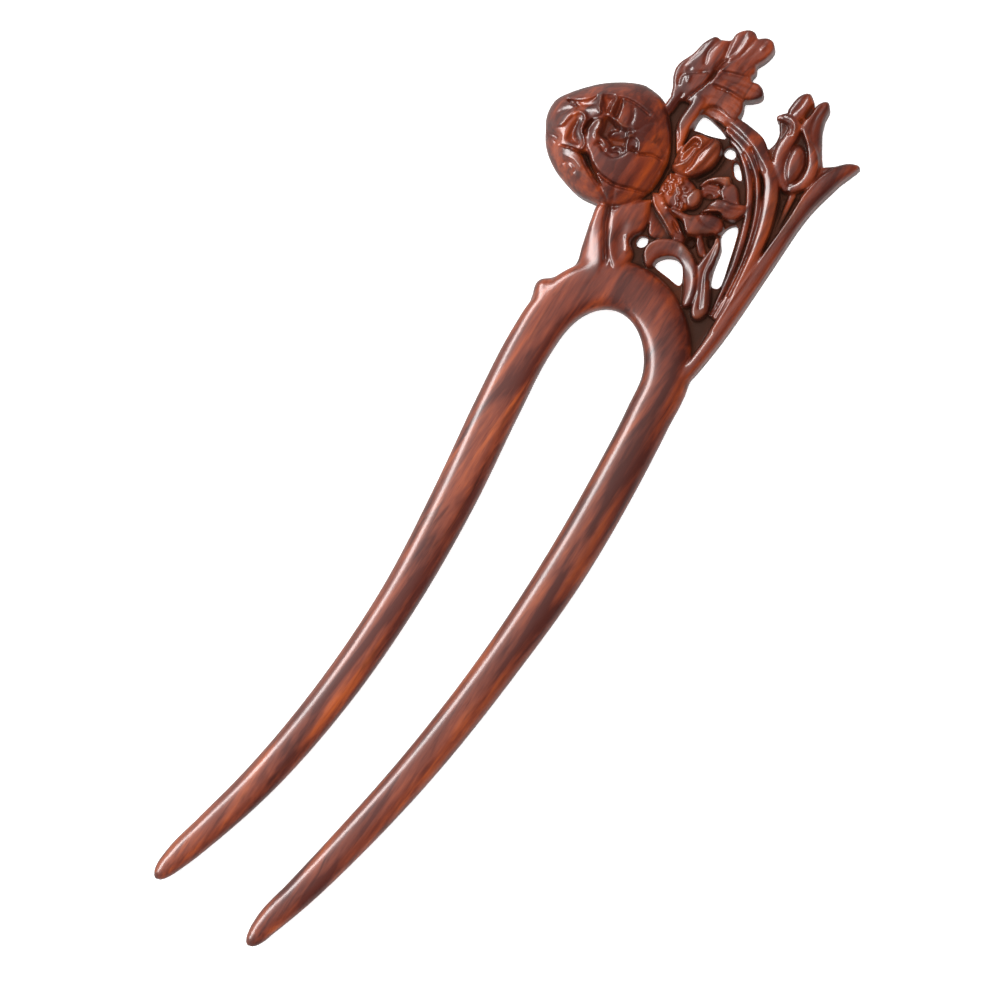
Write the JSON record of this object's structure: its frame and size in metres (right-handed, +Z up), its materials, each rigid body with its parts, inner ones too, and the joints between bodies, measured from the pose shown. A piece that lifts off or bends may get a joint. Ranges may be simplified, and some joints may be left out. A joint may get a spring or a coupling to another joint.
{
  "type": "hair fork",
  "caption": "Long two-prong hair fork carved from one piece of dark wood, with bowed prongs and a pierced floral crest of bloom, leaf, blossom, bud and long blades.",
  "frame": {"origin": "middle of the whole outline, on the plane of the back that the fork lies on", "axes": "+Y along the prongs from the tips to the carved crest, +X across the prongs, +Z up out of the carved face"},
  "size_m": [0.0489, 0.1732, 0.0095],
  "materials": {
    "wood": "gloss"
  },
  "bodies": {
    "root": {"fork": "wood"}
  },
  "joints": []
}
